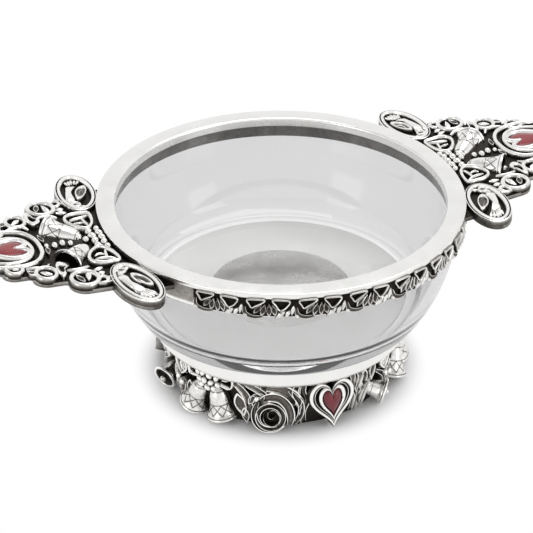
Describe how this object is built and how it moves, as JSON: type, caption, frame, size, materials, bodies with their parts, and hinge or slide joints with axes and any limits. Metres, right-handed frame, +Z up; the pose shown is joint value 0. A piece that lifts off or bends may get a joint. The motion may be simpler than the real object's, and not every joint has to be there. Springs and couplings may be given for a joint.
{
  "type": "quaich",
  "caption": "Two-handled drinking bowl: a thick-based glass bowl bedded in a pewter rim mount with flat ornamented handles, standing on a plain pewter drum and a foot of cast wedding ornaments.",
  "frame": {"origin": "centre of the plane that the foot stands on, under the bowl's axis", "axes": "+X along the handles towards the right one, +Z up out of the bowl's mouth, +Y across"},
  "size_m": [0.2236, 0.1274, 0.0708],
  "materials": {
    "glass": "gloss",
    "polished_pewter": "polished",
    "cast_pewter": "satin",
    "enamel": "gloss",
    "resin": "matte"
  },
  "bodies": {
    "root": {"glass_bowl": "glass", "rim_collar": "polished_pewter", "foot_drum": "polished_pewter", "handle_bezel_right": "polished_pewter", "handle_bezel_left": "polished_pewter", "rim_seal": "resin", "foot_bond": "resin", "handle_heart_right": "enamel", "handle_heart_left": "enamel", "foot_heart_1": "enamel", "foot_heart_2": "enamel", "foot_heart_3": "enamel", "garland_front": "cast_pewter", "garland_back": "cast_pewter", "handle_right": "cast_pewter", "handle_left": "cast_pewter", "handle_bow_right": "cast_pewter", "handle_bow_left": "cast_pewter", "handle_bell_1": "cast_pewter", "handle_bell_2": "cast_pewter", "handle_bell_3": "cast_pewter", "handle_bell_4": "cast_pewter", "dove_1": "cast_pewter", "dove_2": "cast_pewter", "dove_3": "cast_pewter", "dove_4": "cast_pewter", "foot_ring": "cast_pewter", "foot_rose_1": "cast_pewter", "foot_rose_2": "cast_pewter", "foot_rose_3": "cast_pewter", "foot_bell_1": "cast_pewter", "foot_bell_2": "cast_pewter", "foot_bell_3": "cast_pewter", "foot_bell_4": "cast_pewter", "foot_bell_5": "cast_pewter", "foot_bell_6": "cast_pewter", "foot_side_bell_1": "cast_pewter", "foot_side_bell_2": "cast_pewter", "foot_side_bell_3": "cast_pewter", "foot_leaf_1": "cast_pewter", "foot_leaf_2": "cast_pewter", "foot_leaf_3": "cast_pewter", "foot_bow_1": "cast_pewter", "foot_bow_2": "cast_pewter", "foot_bow_3": "cast_pewter", "foot_plaque_1": "cast_pewter", "foot_plaque_2": "cast_pewter", "foot_plaque_3": "cast_pewter", "foot_fold_1": "cast_pewter", "foot_fold_2": "cast_pewter", "foot_fold_3": "cast_pewter", "foot_fold_4": "cast_pewter", "foot_fold_5": "cast_pewter", "foot_fold_6": "cast_pewter"}
  },
  "joints": []
}
